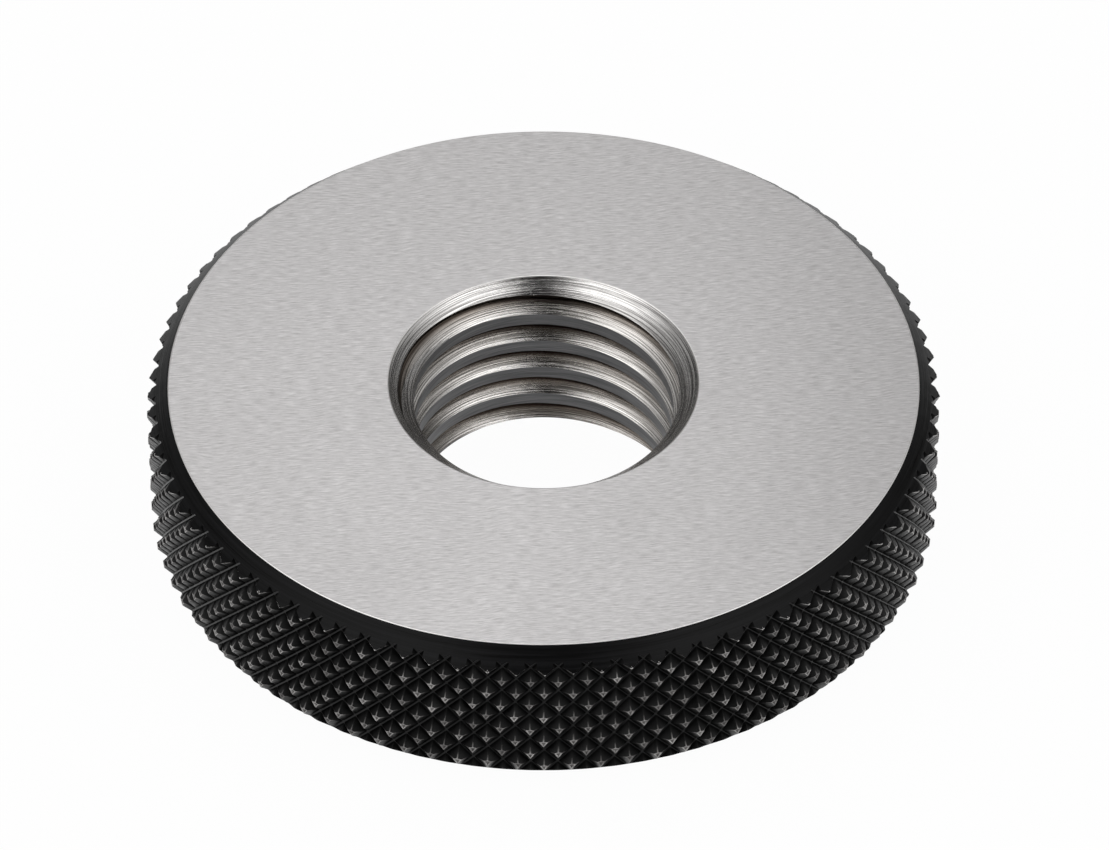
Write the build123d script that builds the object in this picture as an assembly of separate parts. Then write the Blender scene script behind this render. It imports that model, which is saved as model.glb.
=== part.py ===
from build123d import *
import os
from math import ceil, cos, pi, radians, sin, tan

# A solid thread ring gauge: one hardened steel ring with a diamond knurl round
# its rim, ground flat faces and a right-hand M16 x 2 gauging thread in its bore.
# Millimetres and degrees. The bore's axis is Z, the lower face lies on Z = 0 and
# the upper face, with the wide mouth, looks along +Z.

# Ring
ring_diameter = 43.6  # over the points of the knurl
ring_thickness = 9.7
top_chamfer = 1.21  # 45 degree edge above the knurl
bottom_chamfer = 1.36  # 45 degree edge below the knurl

# Gauging thread
thread_diameter = 16.0  # at the bottoms of the grooves
thread_pitch = 2.0
thread_depth = 0.85  # from the truncated crests to the bottoms of the grooves
thread_angle = 60.0
crest_height = 7.67  # middle of one crest, measured on the +Y side

# Mouths of the bore
mouth_angle = 90.0
top_mouth_clearance = 0.55  # all round the bottoms of the grooves
bottom_mouth_width = 0.20  # outwards from the crests

# Diamond knurl with raised points
knurl_count = 88  # grooves of each hand
knurl_axial_pitch = 1.764  # from point to point along the axis
knurl_depth = 0.56
knurl_direction = 266.1  # degrees from +X to one column of points
knurl_point_height = 6.99  # one point in that column

# Worked out from the sizes above
point_radius = ring_diameter / 2
knurl_root_radius = point_radius - knurl_depth
knurl_columns = 2 * knurl_count
thread_root_radius = thread_diameter / 2
crest_radius = thread_root_radius - thread_depth
top_mouth_radius = thread_root_radius + top_mouth_clearance
bottom_mouth_radius = crest_radius + bottom_mouth_width
flank_slope = tan(radians(thread_angle / 2))
mouth_slope = tan(radians(mouth_angle / 2))
# The pitch line lies 3/8 of the sharp thread's depth inside the major diameter.
pitch_radius = thread_root_radius - 3 / 8 * thread_pitch / (2 * flank_slope)
# Both shapes that are crossed with the threaded tube run on past it.
overrun = 2 * thread_pitch


def bored_form():
    """The blank's two faces and the mouths of its bore, with a pilot bore in the thread.

    Both mouths run on as cones down to the pilot bore, so that they cut the
    thread's first turns as a countersink does.
    """
    pilot = crest_radius - thread_pitch / 4
    outside = point_radius + knurl_depth
    section = [
        (bottom_mouth_radius, 0),
        (outside, 0),
        (outside, ring_thickness),
        (top_mouth_radius, ring_thickness),
        (pilot, ring_thickness - (top_mouth_radius - pilot) / mouth_slope),
        (pilot, (bottom_mouth_radius - pilot) / mouth_slope),
    ]
    outline = Polyline([(r, 0, z) for r, z in section], close=True)
    return revolve(make_face(outline), Axis.Z)


def thread_groove():
    """The helical groove that leaves the thread's crests standing between its turns."""
    mouth_radius = crest_radius - thread_pitch / 8
    root_half_width = thread_pitch / 4 - (thread_root_radius - pitch_radius) * flank_slope
    mouth_half_width = thread_pitch / 4 + (pitch_radius - mouth_radius) * flank_slope
    # The groove lies half a pitch above the crest. A right-hand thread is a
    # quarter of a pitch lower on the +X side, where the sweep starts.
    on_x_side = crest_height + thread_pitch / 2 - thread_pitch / 4
    start = on_x_side % thread_pitch - overrun
    turns = ceil((ring_thickness + overrun) / thread_pitch) + 1
    section = [
        (mouth_radius, -mouth_half_width),
        (thread_root_radius, -root_half_width),
        (thread_root_radius, root_half_width),
        (mouth_radius, mouth_half_width),
    ]
    profile = make_face(Polyline([(r, 0, start + z) for r, z in section], close=True))
    path = Pos(0, 0, start) * Helix(thread_pitch, turns * thread_pitch, pitch_radius)
    return sweep(profile, path=path, is_frenet=True)


def threaded_tube():
    """A tube taller and wider than the ring, threaded right through."""
    extra = overrun + thread_pitch
    height = ring_thickness + 2 * extra
    standing = (Align.CENTER, Align.CENTER, Align.MIN)
    tube = Cylinder(point_radius + 2 * knurl_depth, height, align=standing)
    tube -= Cylinder(crest_radius, height, align=standing)
    return Pos(0, 0, -extra) * tube - thread_groove()


def on_column(column, radius, height):
    """A point over one of the knurl's columns, which share the circle equally."""
    angle = column * 2 * pi / knurl_columns
    return (radius * cos(angle), radius * sin(angle), height)


def closed_by(faces):
    """The solid inside those flat faces, each given by its corners."""
    return Solid(Shell([make_face(Polyline(corners, close=True)) for corners in faces]))


def knurled_form():
    """The rim's pyramids, made by two crossing sets of V grooves.

    Along each row and from row to row, points alternate with the places where
    two grooves cross. Each pyramid has four flat sides, which meet those of its
    neighbours along the bottoms of the grooves.
    """
    row_height = knurl_axial_pitch / 2
    point_column = round(knurl_direction / 360 * knurl_columns)
    lowest = -ceil(knurl_point_height / row_height)
    highest = ceil((ring_thickness - knurl_point_height) / row_height)

    def is_point(column, row):
        return (column - point_column + row) % 2 == 0

    def corner(column, row):
        radius = point_radius if is_point(column, row) else knurl_root_radius
        return on_column(column, radius, knurl_point_height + row * row_height)

    sides = []
    for row in range(lowest, highest):
        for column in range(knurl_columns):
            here, right = corner(column, row), corner(column + 1, row)
            above, across = corner(column, row + 1), corner(column + 1, row + 1)
            if is_point(column, row):
                sides += [(here, right, above), (across, above, right)]
            else:
                sides += [(right, across, here), (above, here, across)]
    for row in (lowest, highest):
        sides.append([corner(column, row) for column in range(knurl_columns)])
    return closed_by(sides)


def edged_form():
    """The two 45 degree edges, which run on outwards past the points of the knurl.

    Each has one flat to a column of the knurl, within 0.004 mm of a true cone,
    so it meets the pyramids in straight lines.
    """
    outside = point_radius + knurl_depth
    section = [
        (point_radius - bottom_chamfer, 0),
        (outside, bottom_chamfer + knurl_depth),
        (outside, ring_thickness - top_chamfer - knurl_depth),
        (point_radius - top_chamfer, ring_thickness),
    ]
    sides = []
    for lower, upper in zip(section, section[1:]):
        for column in range(knurl_columns):
            foot = [on_column(column, *lower), on_column(column + 1, *lower)]
            head = [on_column(column + 1, *upper), on_column(column, *upper)]
            sides.append(foot + head)
    for level in (section[0], section[-1]):
        sides.append([on_column(column, *level) for column in range(knurl_columns)])
    return closed_by(sides)


gauge_ring = threaded_tube() & bored_form() & (knurled_form() & edged_form())

os.makedirs("parts", exist_ok=True)
export_step(gauge_ring, "parts/gauge_ring.step")
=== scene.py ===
import random
from math import ceil, copysign, cos, floor, pi, radians, sin, tan

import bmesh
import bpy
from mathutils import Euler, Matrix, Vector


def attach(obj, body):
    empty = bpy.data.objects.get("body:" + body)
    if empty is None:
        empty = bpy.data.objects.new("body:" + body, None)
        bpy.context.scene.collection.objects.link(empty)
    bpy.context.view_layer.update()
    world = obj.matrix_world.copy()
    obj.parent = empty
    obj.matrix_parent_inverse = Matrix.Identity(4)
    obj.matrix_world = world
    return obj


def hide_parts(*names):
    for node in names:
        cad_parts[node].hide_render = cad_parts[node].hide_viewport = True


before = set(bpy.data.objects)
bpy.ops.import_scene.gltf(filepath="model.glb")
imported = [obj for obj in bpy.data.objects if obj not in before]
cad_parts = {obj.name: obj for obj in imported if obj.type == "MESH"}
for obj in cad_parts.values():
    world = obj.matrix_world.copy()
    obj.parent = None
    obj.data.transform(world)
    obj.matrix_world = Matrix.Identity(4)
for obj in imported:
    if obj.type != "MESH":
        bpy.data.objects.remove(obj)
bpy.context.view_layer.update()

# A solid thread ring gauge. Every size below is in millimetres until MM turns it to
# metres, angles are in degrees, and the bore's axis is Z with the lower face on Z = 0.
MM = 0.001
FULL_TURN = 2 * pi

# ---------------------------------------------------------------- sizes
POINT_RADIUS = 21.8
THICKNESS = 9.7
TOP_CHAMFER = 1.21
BOTTOM_CHAMFER = 1.36
TOP_MOUTH_RADIUS = 8.55
BOTTOM_MOUTH_RADIUS = 7.35

# The thread, with the height of one of its crests on the side of +Y.
THREAD_ROOT_RADIUS = 8.0
CREST_RADIUS = 7.15
THREAD_PITCH = 2.0
THREAD_ANGLE = 60.0
CREST_HEIGHT = 7.67

# The knurl: its grooves of each hand, its columns of points, the rise from one row of
# points to the next, and the direction and height of one point.
KNURL_COUNT = 88
KNURL_COLUMNS = 2 * KNURL_COUNT
KNURL_ROW = 0.882
KNURL_DEPTH = 0.50
KNURL_DIRECTION = 266.1
KNURL_POINT_HEIGHT = 6.92
# How far grooves wander and points lean, as a share of a groove's pitch. A point's height
# varies by as many millimetres, and drops a little, so that none passes POINT_RADIUS.
GROOVE_WANDER = 0.06
POINT_LEAN = 0.04
POINT_DROP = 0.045
RIDGE_BLUNT = 0.034

# Edge breaks.
RIM_BREAK = 0.045
MOUTH_BREAK = 0.05
CREST_BREAK = 0.035

# Straight steps to a full turn, on the blank and along the thread.
TURNING_STEPS = 528
THREAD_STEPS = 264

# Where each finish stands among the materials of the blank and of the knurl.
GROUND, OXIDE_EDGE, TURNED_MOUTH, OXIDE_CREST, STONED = range(5)
FACET, RIDGE = range(2)


# ---------------------------------------------------------------- mesh helpers
def new_object(name, bm, materials):
    """A mesh object in metres from a bmesh in millimetres."""
    bmesh.ops.scale(bm, vec=(MM, MM, MM), verts=bm.verts)
    mesh = bpy.data.meshes.new(name)
    bm.to_mesh(mesh)
    bm.free()
    for material in materials:
        mesh.materials.append(material)
    piece = bpy.data.objects.new(name, mesh)
    bpy.context.scene.collection.objects.link(piece)
    return piece


def close_and_face_outwards(bm):
    """Joins a shape's seams and poles and turns its faces outwards."""
    bmesh.ops.remove_doubles(bm, verts=bm.verts, dist=1e-5)
    bmesh.ops.recalc_face_normals(bm, faces=bm.faces)


def closed_profile(bm, points):
    """A flat polygon of (radius, height) corners in the plane Y = 0."""
    corners = [bm.verts.new((r, 0, z)) for r, z in points]
    bm.faces.new(corners)
    return corners


def outline_edges(bm):
    """Keeps the edges of the flat polygons and drops their faces."""
    bmesh.ops.delete(bm, geom=bm.faces[:], context="FACES_ONLY")
    return bm.edges[:]


def turned_blank(materials):
    """The ring as turned and ground: faces, both 45 degree edges, mouths and plain bore."""
    bm = bmesh.new()
    outside = POINT_RADIUS + KNURL_DEPTH
    edge_bottom = POINT_RADIUS - BOTTOM_CHAMFER
    edge_top = POINT_RADIUS - TOP_CHAMFER
    mouth_top = THICKNESS - (TOP_MOUTH_RADIUS - CREST_RADIUS)
    mouth_bottom = BOTTOM_MOUTH_RADIUS - CREST_RADIUS
    corners = closed_profile(bm, [
        (BOTTOM_MOUTH_RADIUS, 0),
        (edge_bottom, 0),
        (outside, outside - edge_bottom),
        (outside, THICKNESS - (outside - edge_top)),
        (edge_top, THICKNESS),
        (TOP_MOUTH_RADIUS, THICKNESS),
        (CREST_RADIUS, mouth_top),
        (CREST_RADIUS, mouth_bottom),
    ])
    rims = [corners[1], corners[4]]
    mouths = [corners[0], corners[5]]
    for broken, offset in ((rims, RIM_BREAK), (mouths, MOUTH_BREAK)):
        bmesh.ops.bevel(
            bm, geom=broken, offset=offset, offset_type="OFFSET", segments=3,
            profile=0.5, affect="VERTICES", material=-1)
    edges = outline_edges(bm)
    bmesh.ops.spin(
        bm, geom=bm.verts[:] + edges, cent=(0, 0, 0), axis=(0, 0, 1), angle=FULL_TURN,
        steps=TURNING_STEPS, use_merge=True, use_duplicate=False)
    close_and_face_outwards(bm)
    for face in bm.faces:
        centre = face.calc_center_median()
        radius = centre.xy.length
        level = abs(face.normal.z) > 0.98
        if level:
            face.material_index = GROUND
        elif radius > edge_top + RIM_BREAK / 2:
            face.material_index = OXIDE_EDGE
        elif radius > edge_bottom - RIM_BREAK:
            face.material_index = STONED
        elif radius < TOP_MOUTH_RADIUS - MOUTH_BREAK / 2:
            upright = abs(face.normal.z) < 0.1
            face.material_index = OXIDE_CREST if upright else TURNED_MOUTH
        elif radius < TOP_MOUTH_RADIUS + MOUTH_BREAK:
            face.material_index = STONED
    return new_object("turned_blank", bm, materials)


def knurl_point(bm):
    """One raised point of the knurl over a unit square of the lattice of grooves.

    Narrow floors run round it, wider along one hand of grooves than along the other. Its
    top is a small kite-shaped land with a hollow, where the wheel didn't close the point,
    and its ridges are slightly blunt. The land and the ridges wear brighter.
    """
    bmesh.ops.create_grid(bm, x_segments=1, y_segments=1, size=0.5)
    top = bm.faces[:]
    # From the foot to the hollow: width, length, height, and how much of a kite it is.
    shapes = (
        (0.965, 0.93, 0.0, 0.0), (0.20, 0.20, KNURL_DEPTH, 1.0),
        (0.14, 0.14, KNURL_DEPTH - 0.005, 0.9), (0.07, 0.07, KNURL_DEPTH - 0.06, 0.7))
    for wide, tall, height, kite in shapes:
        raised = bmesh.ops.extrude_face_region(bm, geom=top)["geom"]
        bmesh.ops.delete(bm, geom=top, context="FACES_ONLY")
        for vert in [g for g in raised if isinstance(g, bmesh.types.BMVert)]:
            vert.co = (copysign(wide / 2, vert.co.x), copysign(tall / 2, vert.co.y), height)
            # A kite's side corners run out and up along the ridges, its lowest one down.
            if vert.co.x * vert.co.y > 0:
                vert.co.xy = vert.co.xy * (1 + 0.5 * kite) + Vector((0.07, -0.07)) * kite
            elif vert.co.y > 0:
                vert.co.xy *= 1 + 0.35 * kite
        top = [g for g in raised if isinstance(g, bmesh.types.BMFace)]
    for face in bm.faces:
        on_land = min(vert.co.z for vert in face.verts) > KNURL_DEPTH / 2
        face.material_index = RIDGE if on_land else FACET
    ridges = [e for e in bm.edges if abs(e.verts[0].co.z - e.verts[1].co.z) > KNURL_DEPTH / 2]
    blunted = bmesh.ops.bevel(
        bm, geom=ridges, offset=RIDGE_BLUNT, offset_type="OFFSET", segments=2,
        profile=0.5, affect="EDGES", material=-1)
    for face in blunted["faces"]:
        face.material_index = RIDGE
    return bm.verts[:] + bm.edges[:] + bm.faces[:]


def knurled_rim(materials):
    """The rim's raised points, wrapped round the ring, with closed ends."""
    random.seed(16)
    # Each groove wanders a little from its place, as a knurling wheel leaves it.
    left = [random.uniform(-GROOVE_WANDER, GROOVE_WANDER) for _ in range(KNURL_COUNT)]
    right = [random.uniform(-GROOVE_WANDER, GROOVE_WANDER) for _ in range(KNURL_COUNT)]
    lowest = -ceil(KNURL_POINT_HEIGHT / KNURL_ROW) - 1
    highest = ceil((THICKNESS - KNURL_POINT_HEIGHT) / KNURL_ROW) + 1

    bm = bmesh.new()
    first = knurl_point(bm)
    first_verts = [g for g in first if isinstance(g, bmesh.types.BMVert)]
    for row in range(lowest, highest + 1):
        for column in range(row % 2, KNURL_COLUMNS, 2):
            copied = bmesh.ops.duplicate(bm, geom=first)["geom"]
            verts = [g for g in copied if isinstance(g, bmesh.types.BMVert)]
            lean = Vector([random.uniform(-POINT_LEAN, POINT_LEAN) for _ in range(3)])
            lean.z -= POINT_DROP
            for vert in verts:
                if vert.co.z > KNURL_DEPTH / 2:
                    vert.co += lean
            bmesh.ops.translate(bm, vec=((column + row) / 2, (column - row) / 2, 0), verts=verts)
    bmesh.ops.delete(bm, geom=first_verts, context="VERTS")
    bmesh.ops.remove_doubles(bm, verts=bm.verts, dist=1e-4)

    def wander(offsets, groove):
        index = floor(groove)
        here = offsets[index % KNURL_COUNT]
        after = offsets[(index + 1) % KNURL_COUNT]
        return here + (after - here) * (groove - index)

    for vert in bm.verts:
        one, other, height = vert.co
        one += wander(left, one)
        other += wander(right, other)
        angle = radians(KNURL_DIRECTION) + (one + other) * FULL_TURN / KNURL_COLUMNS
        radius = POINT_RADIUS - KNURL_DEPTH + height
        level = KNURL_POINT_HEIGHT + (one - other) * KNURL_ROW
        vert.co = (radius * cos(angle), radius * sin(angle), level)
    bmesh.ops.remove_doubles(bm, verts=bm.verts, dist=1e-4)
    # The two zigzag ends run on, past the faces and into the bore, and are closed there.
    bore_side = 6.0
    past_face = 2.5
    rims = [e for e in bm.edges if e.is_boundary]
    inner = bmesh.ops.extrude_edge_only(bm, edges=rims)["geom"]
    inner_verts = [g for g in inner if isinstance(g, bmesh.types.BMVert)]
    for vert in inner_verts:
        flat = Vector((vert.co.x, vert.co.y, 0))
        flat.length = bore_side
        below = vert.co.z < THICKNESS / 2
        vert.co = (flat.x, flat.y, -past_face if below else THICKNESS + past_face)
    bmesh.ops.remove_doubles(bm, verts=inner_verts, dist=1e-4)
    ends = [e for e in bm.edges if e.is_boundary]
    bmesh.ops.holes_fill(bm, edges=ends, sides=0)
    close_and_face_outwards(bm)
    return new_object("knurled_rim", bm, materials)


def thread_cutter(materials):
    """The helical groove, with a flare that breaks the corners of the crests."""
    slope = tan(radians(THREAD_ANGLE / 2))
    pitch_radius = THREAD_ROOT_RADIUS - 3 / 8 * THREAD_PITCH / (2 * slope)

    def half_width(radius):
        return THREAD_PITCH / 4 + (pitch_radius - radius) * slope

    corner = CREST_RADIUS + CREST_BREAK
    wide = half_width(corner)
    upper = [
        (THREAD_ROOT_RADIUS, half_width(THREAD_ROOT_RADIUS)),
        (corner, wide),
        (CREST_RADIUS - CREST_BREAK, wide + 2 * CREST_BREAK),
    ]
    section = upper + [(r, -w) for r, w in reversed(upper)]
    turns = ceil(THICKNESS / THREAD_PITCH) + 3
    start = CREST_HEIGHT + THREAD_PITCH / 4 - THREAD_PITCH * (turns - 1)
    bm = bmesh.new()
    closed_profile(bm, [(r, start + z) for r, z in section])
    edges = outline_edges(bm)
    bmesh.ops.spin(
        bm, geom=bm.verts[:] + edges, cent=(0, 0, 0), axis=(0, 0, 1),
        dvec=(0, 0, THREAD_PITCH / THREAD_STEPS), angle=FULL_TURN * turns,
        steps=THREAD_STEPS * turns, use_merge=False, use_duplicate=False)
    ends = [e for e in bm.edges if e.is_boundary]
    bmesh.ops.holes_fill(bm, edges=ends, sides=0)
    close_and_face_outwards(bm)
    return new_object("thread_cutter", bm, materials)


def cut(piece, other, operation):
    """Applies one exact Boolean, whose cut faces keep their finish, and removes the tool."""
    step = piece.modifiers.new(operation.lower(), "BOOLEAN")
    step.operation = operation
    step.object = other
    step.solver = "EXACT"
    step.material_mode = "TRANSFER"
    depsgraph = bpy.context.evaluated_depsgraph_get()
    mesh = bpy.data.meshes.new_from_object(piece.evaluated_get(depsgraph))
    piece.modifiers.clear()
    piece.data = mesh
    bpy.data.objects.remove(other)
    bpy.context.view_layer.update()


# ---------------------------------------------------------------- materials
WHITE = (1, 1, 1, 1)


def linear(hex_colour):
    """An sRGB hex value as the linear colour that a shader takes."""
    channels = [int(hex_colour[i:i + 2], 16) / 255 for i in (1, 3, 5)]
    straight = [c / 12.92 if c <= 0.04045 else ((c + 0.055) / 1.055) ** 2.4 for c in channels]
    return (*straight, 1.0)


def add(tree, kind, inputs=None, stops=None, **settings):
    """A new node with its settings; an input is a value or the socket that feeds it.

    The stops of a colour ramp are pairs of a position and a hex colour.
    """
    made = tree.nodes.new(kind)
    for name, value in settings.items():
        setattr(made, name, value)
    for key, value in (inputs or {}).items():
        if isinstance(value, bpy.types.NodeSocket):
            tree.links.new(value, made.inputs[key])
        else:
            made.inputs[key].default_value = value
    if stops:
        band = made.color_ramp.elements
        while len(band) < len(stops):
            band.new(0.5)
        for element, (position, hex_colour) in zip(band, stops):
            element.position = position
            element.color = linear(hex_colour)
    return made


def new_material(name):
    """A material with an empty node tree."""
    material = bpy.data.materials.new(name)
    material.use_nodes = True
    material.node_tree.nodes.clear()
    return material, material.node_tree


def round_the_axis(tree):
    """Radius and height of a point, and its direction from the bore's axis."""
    place = add(tree, "ShaderNodeTexCoord").outputs["Object"]
    parts = add(tree, "ShaderNodeSeparateXYZ", {0: place}).outputs
    flat = add(tree, "ShaderNodeCombineXYZ", {"X": parts["X"], "Y": parts["Y"]}).outputs[0]
    radius = add(tree, "ShaderNodeVectorMath", {0: flat}, operation="LENGTH").outputs["Value"]
    around = add(tree, "ShaderNodeVectorMath", {0: flat}, operation="NORMALIZE").outputs[0]
    return radius, parts["Z"], around


def turning_marks(tree, spacing, wander):
    """Fine lines round the axis, about so many millimetres apart.

    They fade in and out along the circle, oftener with a larger wander.
    """
    radius, height, around = round_the_axis(tree)
    # The lines follow the radius, and also the height where the radius stays the same.
    along = add(tree, "ShaderNodeMath", {
        0: height, 1: 0.4, 2: radius}, operation="MULTIPLY_ADD").outputs[0]
    fine = add(tree, "ShaderNodeMath", {
        0: along, 1: 1 / (spacing * MM)}, operation="MULTIPLY").outputs[0]
    # The offset keeps the circle clear of the noise's own grid, where it would go flat.
    slow = add(tree, "ShaderNodeVectorMath", {
        0: around, 1: (wander, wander, 1), 2: (5.37, 2.71, 0.43)},
        operation="MULTIPLY_ADD").outputs[0]
    return add(tree, "ShaderNodeTexNoise", {
        "Vector": slow, "W": fine, "Scale": 1.0, "Detail": 4.0, "Roughness": 0.7},
        noise_dimensions="4D").outputs["Fac"]


def ground_steel():
    """Hardened tool steel, surface ground: a satin grey with short fine scratches all one way."""
    material, tree = new_material("surface_ground_tool_steel")
    place = add(tree, "ShaderNodeTexCoord").outputs["Object"]
    turned = add(tree, "ShaderNodeMapping", {
        "Vector": place, "Rotation": (0, 0, radians(-4))}).outputs[0]
    # The scratches sway a little over a few millimetres.
    sway = add(tree, "ShaderNodeTexNoise", {"Vector": turned, "Scale": 1 / (4 * MM), "Detail": 2.0})
    shift = add(tree, "ShaderNodeMath", {0: sway.outputs["Fac"], 1: 1.0 * MM}, operation="MULTIPLY")
    up = add(tree, "ShaderNodeCombineXYZ", {"Y": shift.outputs[0]}).outputs[0]
    wavy = add(tree, "ShaderNodeVectorMath", {0: turned, 1: up}, operation="ADD").outputs[0]
    # The wheel's scratches are about 0.01 mm wide and some millimetres long. They are drawn
    # 0.08 mm wide, which is as coarse as they need to show, and 0.8 mm long.
    stretched = add(tree, "ShaderNodeMapping", {
        "Vector": wavy, "Scale": (1 / (0.8 * MM), 1 / (0.08 * MM), 1)}).outputs[0]
    scratches = add(tree, "ShaderNodeTexNoise", {
        "Vector": stretched, "Scale": 1.0, "Detail": 3.0, "Roughness": 0.65}).outputs["Fac"]
    cloud = add(tree, "ShaderNodeTexNoise", {"Vector": turned, "Scale": 1 / (9 * MM), "Detail": 3.0})
    colour = add(tree, "ShaderNodeValToRGB", {"Fac": scratches}, stops=[
        (0.28, "#a9a7a7"), (0.50, "#c3c1c1"), (0.72, "#d8d6d6")]).outputs[0]
    roughness = add(tree, "ShaderNodeMapRange", {
        "Value": cloud.outputs["Fac"], "From Min": 0.3, "From Max": 0.7, "To Min": 0.30, "To Max": 0.36})
    bump = add(tree, "ShaderNodeBump", {"Height": scratches, "Strength": 0.4, "Distance": 0.02 * MM})
    across = add(tree, "ShaderNodeCombineXYZ", {"Y": 1.0})
    surface = add(tree, "ShaderNodeBsdfPrincipled", {
        "Base Color": colour, "Metallic": 1.0, "Roughness": roughness.outputs[0],
        "Anisotropic": 0.7, "Tangent": across.outputs[0], "Normal": bump.outputs[0]})
    add(tree, "ShaderNodeOutputMaterial", {"Surface": surface.outputs[0]})
    return material


def stoned_edge():
    """A sharp edge broken with a stone: steel without its oxide, matt enough to show as a fine bright
    line.
    """
    material, tree = new_material("stoned_tool_steel")
    surface = add(tree, "ShaderNodeBsdfPrincipled", {
        "Base Color": linear("#f2f0ee"), "Metallic": 1.0, "Roughness": 0.35})
    add(tree, "ShaderNodeOutputMaterial", {"Surface": surface.outputs[0]})
    return material


def turned_steel(name, dark, pale, shaded_roots, roughness, spacing, relief):
    """Tool steel, turned or thread ground: bright, with fine rings round the axis.

    The real rings lie 0.01 to 0.05 mm apart, and the finest are drawn coarser, as the
    spacing says, because they wouldn't show.
    """
    material, tree = new_material(name)
    marks = turning_marks(tree, spacing, 1.3)
    colour = add(tree, "ShaderNodeValToRGB", {"Fac": marks}, stops=[
        (0.42, dark), (0.58, pale)]).outputs[0]
    if shaded_roots:
        # Painted shade: the colour darkens to a brownish grey towards the roots of the grooves, where
        # shade falls.
        radius = round_the_axis(tree)[0]
        deep = add(tree, "ShaderNodeMapRange", {
            "Value": radius, "From Min": (CREST_RADIUS + 0.1) * MM,
            "From Max": (THREAD_ROOT_RADIUS - 0.1) * MM})
        painted_root_shade = add(tree, "ShaderNodeValToRGB", {"Fac": deep.outputs[0]}, stops=[
            (0.0, "#ffffff"), (0.5, "#e9e7e5"), (0.85, "#b5aea8"), (1.0, "#665e57")]).outputs[0]
        mixed = add(tree, "ShaderNodeVectorMath", {0: colour, 1: painted_root_shade}, operation="MULTIPLY")
        colour = mixed.outputs[0]
    matt = add(tree, "ShaderNodeMapRange", {
        "Value": marks, "From Min": 0.3, "From Max": 0.7,
        "To Min": roughness - 0.04, "To Max": roughness + 0.06})
    bump = add(tree, "ShaderNodeBump", {"Height": marks, "Strength": 0.6, "Distance": relief * MM})
    around = add(tree, "ShaderNodeTangent", direction_type="RADIAL", axis="Z")
    surface = add(tree, "ShaderNodeBsdfPrincipled", {
        "Base Color": colour, "Metallic": 1.0, "Roughness": matt.outputs[0],
        "Anisotropic": 0.75, "Anisotropic Rotation": 0.25, "Tangent": around.outputs[0],
        "Normal": bump.outputs[0]})
    add(tree, "ShaderNodeOutputMaterial", {"Surface": surface.outputs[0]})
    return material


def black_oxide_turned():
    """Black oxide on a turned edge: near black and satin, with the tool's rings under it.

    The oxide is a thin porous layer with oil in it, so it shines less than a solid oxide.
    """
    material, tree = new_material("black_oxide_turned_steel")
    # The tool's rings, 0.05 mm apart, are drawn at 0.08 mm, because they wouldn't show.
    marks = turning_marks(tree, 0.08, 2.0)
    colour = add(tree, "ShaderNodeValToRGB", {"Fac": marks}, stops=[
        (0.38, "#040404"), (0.62, "#161617")])
    matt = add(tree, "ShaderNodeMapRange", {
        "Value": marks, "From Min": 0.3, "From Max": 0.7, "To Min": 0.26, "To Max": 0.36})
    bump = add(tree, "ShaderNodeBump", {"Height": marks, "Strength": 0.6, "Distance": 0.04 * MM})
    around = add(tree, "ShaderNodeTangent", direction_type="RADIAL", axis="Z")
    surface = add(tree, "ShaderNodeBsdfPrincipled", {
        "Base Color": colour.outputs[0], "Roughness": matt.outputs[0], "IOR": 1.20,
        "Anisotropic": 0.6, "Anisotropic Rotation": 0.25, "Tangent": around.outputs[0],
        "Normal": bump.outputs[0]})
    add(tree, "ShaderNodeOutputMaterial", {"Surface": surface.outputs[0]})
    return material


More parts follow.
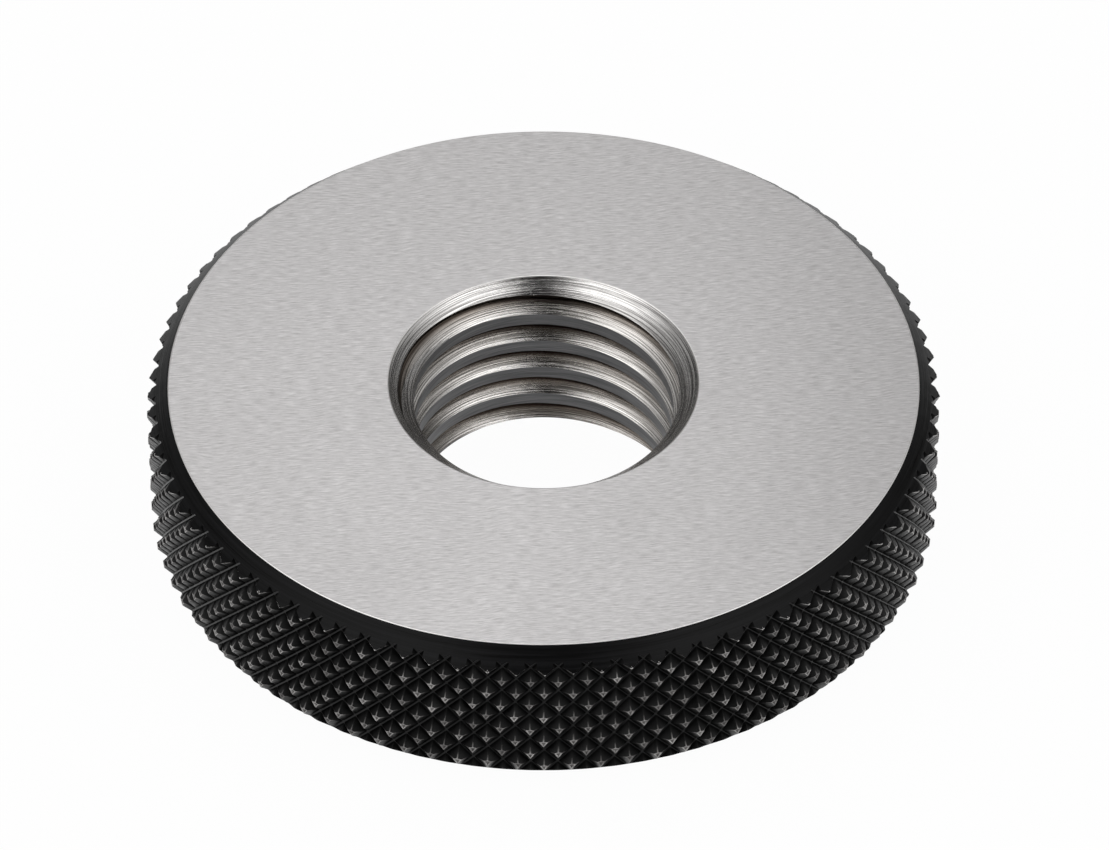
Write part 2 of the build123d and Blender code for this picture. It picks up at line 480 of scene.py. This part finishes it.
def black_oxide_knurled(name, wear_and_shade_from, wear_and_shade_to):
    """Black oxide on cut points: near black in the grooves, lighter towards the tips as painted shade,
    and rubbed to grey steel at the tips by wear.

    The painted shade and the wear start and end at two shares of a point's height.
    """
    material, tree = new_material(name)
    radius, height, _ = round_the_axis(tree)
    here = add(tree, "ShaderNodeTexCoord").outputs
    # The oxide's grain is too fine to see. It is drawn 0.16 mm wide, to make the wear ragged.
    grain = add(tree, "ShaderNodeTexNoise", {
        "Vector": here["Object"], "Scale": 1 / (0.16 * MM), "Detail": 3.0,
        "Roughness": 0.7}).outputs["Fac"]
    rise = add(tree, "ShaderNodeMapRange", {
        "Value": radius, "From Min": (POINT_RADIUS - KNURL_DEPTH) * MM,
        "From Max": POINT_RADIUS * MM})
    ragged = add(tree, "ShaderNodeMath", {
        0: grain, 1: 0.5, 2: rise.outputs[0]}, operation="MULTIPLY_ADD").outputs[0]
    # The grain adds 0.25 on average.
    # Painted shade and wear: the colour lightens from the grooves to the tips; on the facets this slow
    # rise is painted shade, and on the ridges it reaches wear to grey steel.
    wear_and_shade = add(tree, "ShaderNodeMapRange", {
        "Value": ragged, "From Min": wear_and_shade_from + 0.25, "From Max": wear_and_shade_to + 0.25,
        "To Max": 0.85}).outputs[0]
    # The turned edge leaves a bright burr where it cuts through the points' undersides.
    facing = add(tree, "ShaderNodeSeparateXYZ", {0: here["Normal"]}).outputs["Z"]
    under = add(tree, "ShaderNodeMapRange", {
        "Value": facing, "From Min": 0.35, "From Max": 0.15}).outputs[0]
    cone = add(tree, "ShaderNodeMath", {0: radius, 1: height}, operation="ADD").outputs[0]
    edge_line = POINT_RADIUS - TOP_CHAMFER + THICKNESS
    near = add(tree, "ShaderNodeMapRange", {
        "Value": cone, "From Min": (edge_line - 0.16) * MM,
        "From Max": (edge_line - 0.06) * MM}).outputs[0]
    tall = add(tree, "ShaderNodeMapRange", {
        "Value": ragged, "From Min": 0.50, "From Max": 0.85, "To Max": 0.9}).outputs[0]
    burr = add(tree, "ShaderNodeMath", {0: near, 1: under}, operation="MULTIPLY").outputs[0]
    burr = add(tree, "ShaderNodeMath", {0: burr, 1: tall}, operation="MULTIPLY").outputs[0]
    bare_steel_and_shade = add(tree, "ShaderNodeMath", {0: wear_and_shade, 1: burr}, operation="MAXIMUM").outputs[0]
    colour = add(tree, "ShaderNodeValToRGB", {"Fac": bare_steel_and_shade}, stops=[
        (0.0, "#030303"), (0.35, "#202020"), (0.7, "#706e6d"), (1.0, "#dcdad8")])
    metal = add(tree, "ShaderNodeMapRange", {"Value": bare_steel_and_shade, "From Min": 0.0, "From Max": 0.7})
    matt = add(tree, "ShaderNodeMapRange", {
        "Value": grain, "From Min": 0.3, "From Max": 0.7, "To Min": 0.30, "To Max": 0.48})
    bump = add(tree, "ShaderNodeBump", {"Height": grain, "Strength": 0.4, "Distance": 0.02 * MM})
    # Painted shade and highlight: the specular level is lowest just beside the groove floors, where
    # shade falls, and rises towards the tips; the narrow floors are painted bright too.
    painted_shade_and_highlight = add(tree, "ShaderNodeValToRGB", {"Fac": rise.outputs[0]}, stops=[
        (0.0, "#d0d0d0"), (0.05, "#606060"), (0.45, "#b0b0b0"), (1.0, "#ffffff")])
    surface = add(tree, "ShaderNodeBsdfPrincipled", {
        "Base Color": colour.outputs[0], "Metallic": metal.outputs[0], "Roughness": matt.outputs[0],
        "IOR": 1.25, "Specular IOR Level": painted_shade_and_highlight.outputs[0], "Normal": bump.outputs[0]})
    add(tree, "ShaderNodeOutputMaterial", {"Surface": surface.outputs[0]})
    return material


def oxide_bore():
    """The oxide left on the crests of the thread, bored: even dark grey, semi-matt."""
    material, tree = new_material("black_oxide_bored_steel")
    marks = turning_marks(tree, 0.03, 2.0)
    colour = add(tree, "ShaderNodeValToRGB", {"Fac": marks}, stops=[
        (0.38, "#4f4f50"), (0.62, "#727273")])
    surface = add(tree, "ShaderNodeBsdfPrincipled", {
        "Base Color": colour.outputs[0], "Metallic": 0.6, "Roughness": 0.5})
    add(tree, "ShaderNodeOutputMaterial", {"Surface": surface.outputs[0]})
    return material


# ---------------------------------------------------------------- the gauge
countersink_finish = turned_steel(
    "turned_tool_steel", dark="#7c7a78", pale="#eeecea", shaded_roots=False,
    roughness=0.21, spacing=0.05, relief=0.02)
# The thread's finish carries painted shade that darkens towards the roots of its grooves.
thread_finish = turned_steel(
    "thread_ground_tool_steel", dark="#77746f", pale="#f4f1ee", shaded_roots=True,
    roughness=0.19, spacing=0.04, relief=0.02)
# In the order of GROUND to STONED, and of FACET and RIDGE.
blank_finishes = [
    ground_steel(), black_oxide_turned(), countersink_finish, oxide_bore(), stoned_edge()]
# The facets' long ramp is painted shade that lightens towards the tips; the ridges' short ramp is wear.
knurl_finishes = [
    black_oxide_knurled("black_oxide_knurled_steel", wear_and_shade_from=0.2, wear_and_shade_to=2.6),
    black_oxide_knurled("worn_knurl_ridge_steel", wear_and_shade_from=0.18, wear_and_shade_to=1.02)]

ring = turned_blank(blank_finishes)
cut(ring, knurled_rim(knurl_finishes), "INTERSECT")
cut(ring, thread_cutter([thread_finish]), "DIFFERENCE")
ring.name = "thread_ring"

cleaned = bmesh.new()
cleaned.from_mesh(ring.data)
bmesh.ops.remove_doubles(cleaned, verts=cleaned.verts, dist=1e-4 * MM)
# A corner with only two edges lies on a straight line and isn't needed.
needless = [vert for vert in cleaned.verts if len(vert.link_edges) == 2]
bmesh.ops.dissolve_verts(cleaned, verts=needless)
cleaned.to_mesh(ring.data)
cleaned.free()
ring.data.shade_smooth()
ring.data.set_sharp_from_angle(angle=radians(30))
even = ring.modifiers.new("even_shading", "WEIGHTED_NORMAL")
even.keep_sharp = True
even.weight = 100

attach(ring, "root")
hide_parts("gauge_ring")


# ---------------------------------------------------------------- the studio
def pale_floor():
    """A sweep in matt white paint: it shows white and keeps the ring's soft shadow."""
    material, tree = new_material("white_sweep")
    paint = add(tree, "ShaderNodeBsdfDiffuse", {"Color": linear("#f2f2f2")}).outputs[0]
    glow = add(tree, "ShaderNodeEmission", {"Color": WHITE, "Strength": 1.0}).outputs[0]
    path = add(tree, "ShaderNodeLightPath").outputs
    seen = add(tree, "ShaderNodeMath", {
        0: path["Is Camera Ray"], 1: path["Is Glossy Ray"]}, operation="MAXIMUM").outputs[0]
    seen = add(tree, "ShaderNodeMath", {
        0: seen, 1: path["Is Transmission Ray"]}, operation="MAXIMUM").outputs[0]
    share = add(tree, "ShaderNodeMath", {0: seen, 1: 0.97}, operation="MULTIPLY").outputs[0]
    mixed = add(tree, "ShaderNodeMixShader", {0: share, 1: paint, 2: glow}).outputs[0]
    add(tree, "ShaderNodeOutputMaterial", {"Surface": mixed})
    return material


# The floor lies just under the ring's lower face, so that the two don't coincide.
FLOOR_HALF_WIDTH = 4000
FLOOR_DROP = 0.02
floor_bm = bmesh.new()
bmesh.ops.create_grid(floor_bm, x_segments=1, y_segments=1, size=FLOOR_HALF_WIDTH)
bmesh.ops.translate(floor_bm, vec=(0, 0, -FLOOR_DROP), verts=floor_bm.verts)
sweep = new_object("studio_floor", floor_bm, [pale_floor()])


def studio_world():
    """The light that the ring stands in, by its direction; seen directly, it is white.

    Two tall soft boxes stand left and right with a dark gap between them, a weaker glow
    lies behind, and there is a small spot overhead. Nothing shines from below.
    """
    world = bpy.data.worlds.new("studio")
    world.use_nodes = True
    tree = world.node_tree
    tree.nodes.clear()
    way = add(tree, "ShaderNodeTexCoord").outputs["Generated"]
    parts = add(tree, "ShaderNodeSeparateXYZ", {0: way}).outputs
    aside = add(tree, "ShaderNodeMath", {
        0: parts["X"], 1: 0.04}, operation="SUBTRACT").outputs[0]
    across = add(tree, "ShaderNodeMath", {0: aside}, operation="ABSOLUTE").outputs[0]
    # The dark gap is wider overhead.
    gap = add(tree, "ShaderNodeMapRange", {
        "Value": parts["Z"], "From Min": 0.78, "From Max": 0.92, "To Max": 0.10}).outputs[0]
    beyond = add(tree, "ShaderNodeMath", {0: across, 1: gap}, operation="SUBTRACT").outputs[0]

    # The boxes are brightest in front and overhead.
    boxes = add(tree, "ShaderNodeMapRange", {
        "Value": beyond, "From Min": 0.21, "From Max": 0.33},
        interpolation_type="SMOOTHSTEP").outputs[0]
    reach = add(tree, "ShaderNodeMapRange", {
        "Value": parts["Y"], "From Min": -0.45, "From Max": 0.30, "To Min": 1.75, "To Max": 0.45},
        interpolation_type="SMOOTHSTEP").outputs[0]
    overhead = add(tree, "ShaderNodeMapRange", {
        "Value": parts["Z"], "From Min": 0.74, "From Max": 0.84, "To Max": 1.4},
        interpolation_type="SMOOTHSTEP").outputs[0]
    reach = add(tree, "ShaderNodeMath", {0: reach, 1: overhead}, operation="MAXIMUM").outputs[0]
    boxes = add(tree, "ShaderNodeMath", {0: boxes, 1: reach}, operation="MULTIPLY").outputs[0]

    # The glow behind weakens to the sides, and nothing shines from close to the floor.
    behind = add(tree, "ShaderNodeMapRange", {
        "Value": parts["Y"], "From Min": -0.12, "From Max": 0.12, "To Max": 0.56},
        interpolation_type="SMOOTHSTEP").outputs[0]
    middle = add(tree, "ShaderNodeMapRange", {
        "Value": across, "From Min": 0.35, "From Max": 0.60, "To Min": 1.0, "To Max": 0.6},
        interpolation_type="SMOOTHSTEP").outputs[0]
    behind = add(tree, "ShaderNodeMath", {0: behind, 1: middle}, operation="MULTIPLY").outputs[0]
    lifted = add(tree, "ShaderNodeMapRange", {
        "Value": parts["Z"], "From Min": 0.20, "From Max": 0.42},
        interpolation_type="SMOOTHSTEP").outputs[0]
    brightest = add(tree, "ShaderNodeMath", {0: boxes, 1: behind}, operation="MAXIMUM").outputs[0]
    lit = add(tree, "ShaderNodeMath", {0: brightest, 1: lifted}, operation="MULTIPLY").outputs[0]

    # The spot draws the fine bright line along the near edge. The rest of the room is dim.
    aligned = add(tree, "ShaderNodeVectorMath", {
        0: way, 1: (0, 0.15, 0.989)}, operation="DOT_PRODUCT").outputs["Value"]
    spot = add(tree, "ShaderNodeMapRange", {
        "Value": aligned, "From Min": 0.985, "From Max": 0.995,
        "To Min": 0.03, "To Max": 2.6}).outputs[0]
    room = add(tree, "ShaderNodeMath", {0: lit, 1: spot}, operation="ADD").outputs[0]
    light = add(tree, "ShaderNodeBackground", {"Color": WHITE, "Strength": room}).outputs[0]
    white = add(tree, "ShaderNodeBackground", {"Color": WHITE, "Strength": 1.0}).outputs[0]
    seen = add(tree, "ShaderNodeLightPath").outputs["Is Camera Ray"]
    mixed = add(tree, "ShaderNodeMixShader", {0: seen, 1: light, 2: white}).outputs[0]
    add(tree, "ShaderNodeOutputWorld", {"Surface": mixed})
    bpy.context.scene.world = world


studio_world()


def soft_lamp(name, place, size, radiance):
    """A square soft lamp, out of sight, that looks at the middle of the upper face."""
    lamp = bpy.data.lights.new(name, "AREA")
    lamp.shape = "SQUARE"
    lamp.size = size * MM
    # This power gives the lamp's face that radiance.
    lamp.energy = radiance * pi * (size * MM) ** 2
    holder = bpy.data.objects.new(name, lamp)
    bpy.context.scene.collection.objects.link(holder)
    holder.location = Vector(place) * MM
    aim = Vector((0, 0, THICKNESS)) * MM - holder.location
    holder.rotation_euler = aim.to_track_quat("-Z", "Y").to_euler()
    holder.visible_camera = False


soft_lamp("back_lamp", place=(-14, 85, 142), size=74, radiance=0.9)

# ---------------------------------------------------------------- the camera
# It looks from in front at the middle of the upper face, moved a little right and down.
ELEVATION = radians(43.325)
DISTANCE = 524.63
MOVED_RIGHT = 0.600
MOVED_DOWN = 2.440
camera = bpy.data.cameras.new("camera")
camera.lens = 310.4
camera.sensor_width = 36
camera.clip_start = 0.01
camera.clip_end = 100
viewer = bpy.data.objects.new("camera", camera)
bpy.context.scene.collection.objects.link(viewer)
viewer.rotation_euler = Euler((pi / 2 - ELEVATION, 0, 0))
towards = Vector((0, -cos(ELEVATION), sin(ELEVATION)))
upward = Vector((0, sin(ELEVATION), cos(ELEVATION)))
sideways = Vector((1, 0, 0))
face_centre = Vector((0, 0, THICKNESS))
viewer.location = MM * (
    face_centre + DISTANCE * towards + MOVED_RIGHT * sideways - MOVED_DOWN * upward)
bpy.context.scene.camera = viewer
bpy.context.scene.view_settings.view_transform = "Standard"
